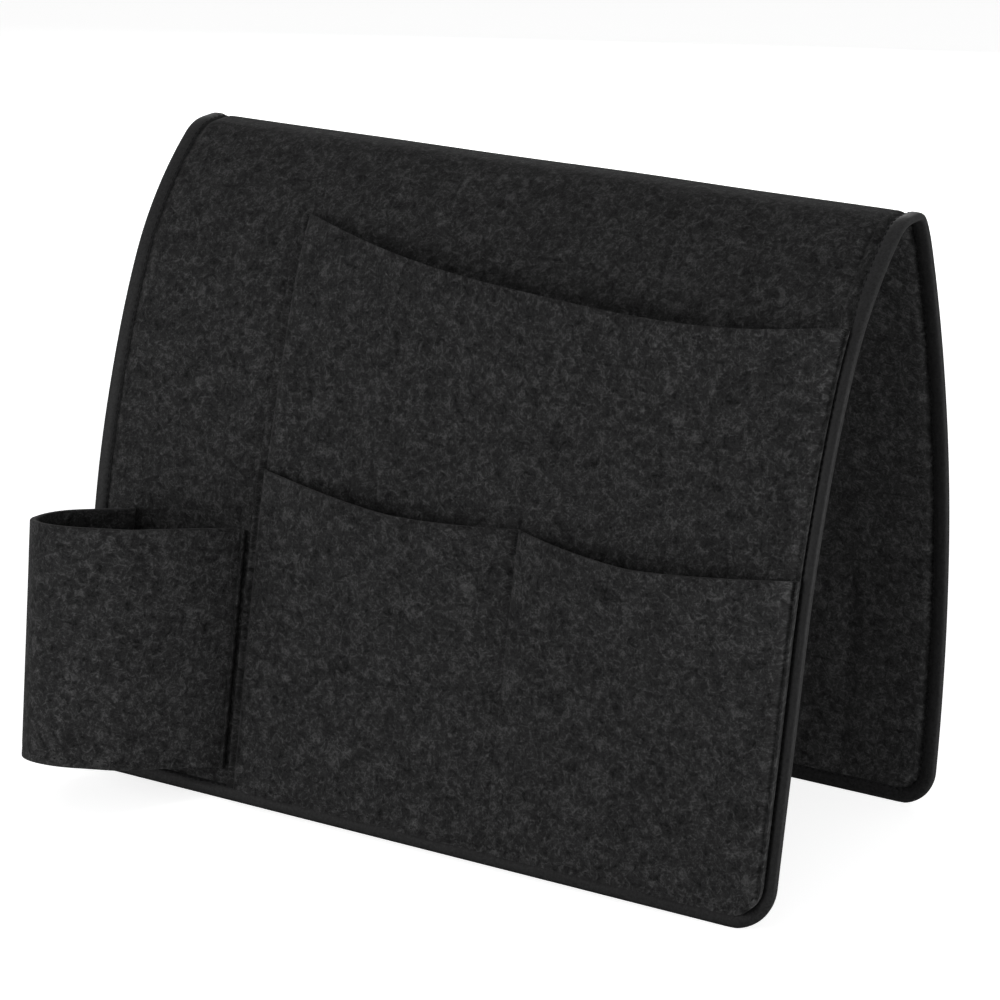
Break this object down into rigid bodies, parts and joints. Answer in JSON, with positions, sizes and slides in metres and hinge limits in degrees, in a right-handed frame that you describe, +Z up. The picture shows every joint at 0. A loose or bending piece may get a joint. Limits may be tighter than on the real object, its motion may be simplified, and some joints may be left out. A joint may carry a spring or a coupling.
{
  "type": "sofa armrest organizer",
  "caption": "Felt organizer that hangs over a sofa armrest, with a magazine pocket, lower pockets, a cup pocket, a back pocket and tape-bound edges.",
  "frame": {"origin": "middle of the floor area that the organizer covers when it stands on its feet", "axes": "+X along the armrest, to the right seen from the front, -Y towards the front with the pockets, +Z up"},
  "size_m": [0.4, 0.265, 0.313],
  "materials": {
    "felt": "charcoal polyester felt",
    "tape": "black woven binding tape",
    "thread": "black sewing thread"
  },
  "bodies": {
    "front_leg": {"front_sheet": "felt", "front_binding": "tape", "front_binding_thread": "thread", "magazine_pocket": "felt", "magazine_seam_left": "thread", "magazine_seam_right": "thread", "magazine_tack_left": "thread", "magazine_tack_right": "thread", "lower_pocket_panel": "felt", "lower_seam_left": "thread", "lower_seam_middle": "thread", "lower_seam_right": "thread", "lower_seam_bottom": "thread", "lower_tack_left": "thread", "lower_tack_middle": "thread", "lower_tack_right": "thread", "cup_pocket_band": "felt", "cup_pocket_base": "felt", "cup_seam_right": "thread", "cup_seam_left": "thread", "cup_base_thread": "thread"},
    "back_leg": {"back_sheet": "felt", "back_binding": "tape", "back_binding_thread": "thread", "back_pocket": "felt", "back_pocket_seam": "thread", "back_tack_left": "thread", "back_tack_right": "thread"}
  },
  "joints": [
    {"name": "crown_fold", "type": "hinge", "parent": "front_leg", "child": "back_leg", "pos_m": [0, 0.06943, 0.30962], "axis": [1, 0, 0], "range_deg": [-25, 40]}
  ]
}
